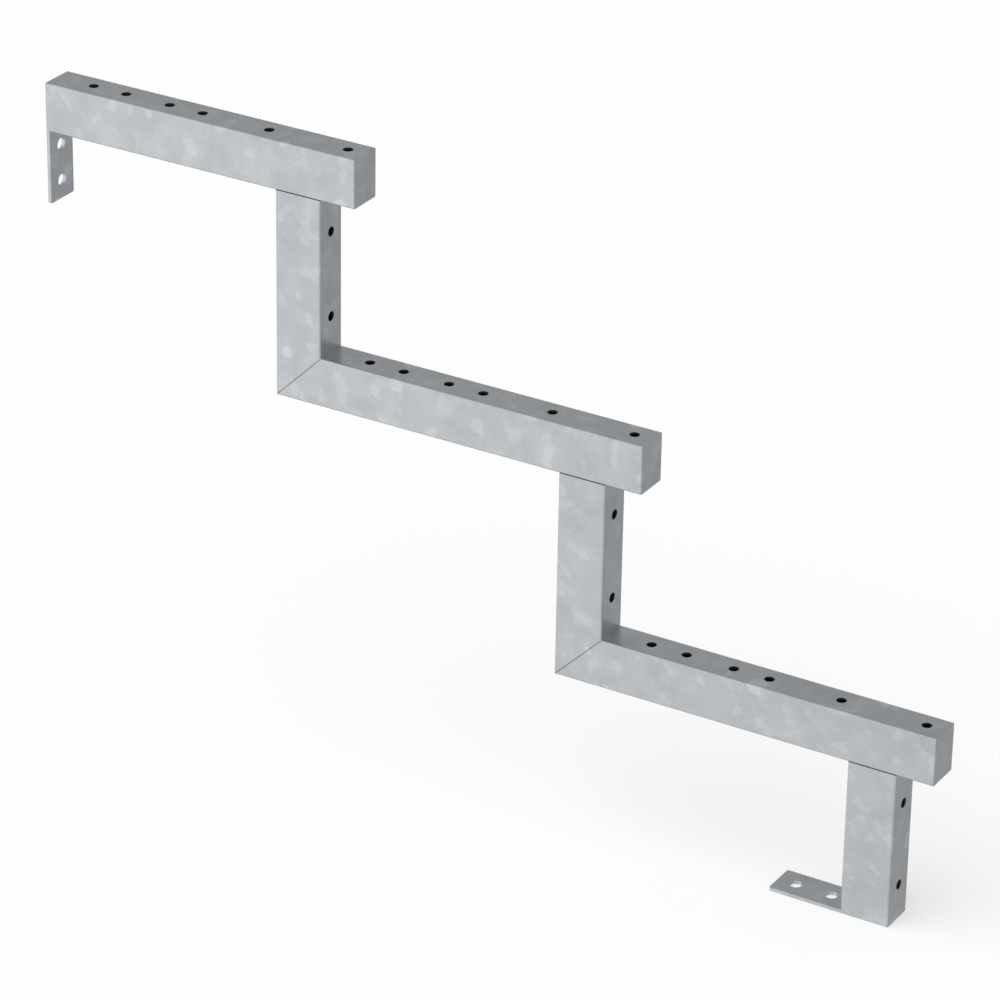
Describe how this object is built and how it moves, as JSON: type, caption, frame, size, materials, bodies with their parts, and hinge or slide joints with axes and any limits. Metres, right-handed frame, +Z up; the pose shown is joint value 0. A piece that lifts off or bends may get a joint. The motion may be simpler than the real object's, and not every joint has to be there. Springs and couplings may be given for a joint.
{
  "type": "stair stringer",
  "caption": "Zig-zag stair stringer of galvanised steel box tube, with screw holes for treads and riser boards, a wall plate at the top and a foot plate on the ground.",
  "frame": {"origin": "on the ground under the axis of the lowest riser, on the foot plate's underside, in the middle plane", "axes": "+X down the stairs, +Y across the stringer, +Z up"},
  "size_m": [0.78, 0.03, 0.51],
  "materials": {
    "galvanised_steel": "hot-dip galvanised, dull grey with a soft spangle"
  },
  "bodies": {
    "root": {"tread_bearer_1": "galvanised_steel", "riser_1": "galvanised_steel", "nose_cap_1": "galvanised_steel", "tread_bearer_2": "galvanised_steel", "riser_2": "galvanised_steel", "nose_cap_2": "galvanised_steel", "tread_bearer_3": "galvanised_steel", "riser_3": "galvanised_steel", "nose_cap_3": "galvanised_steel", "wall_plate": "galvanised_steel", "foot_plate": "galvanised_steel"}
  },
  "joints": []
}
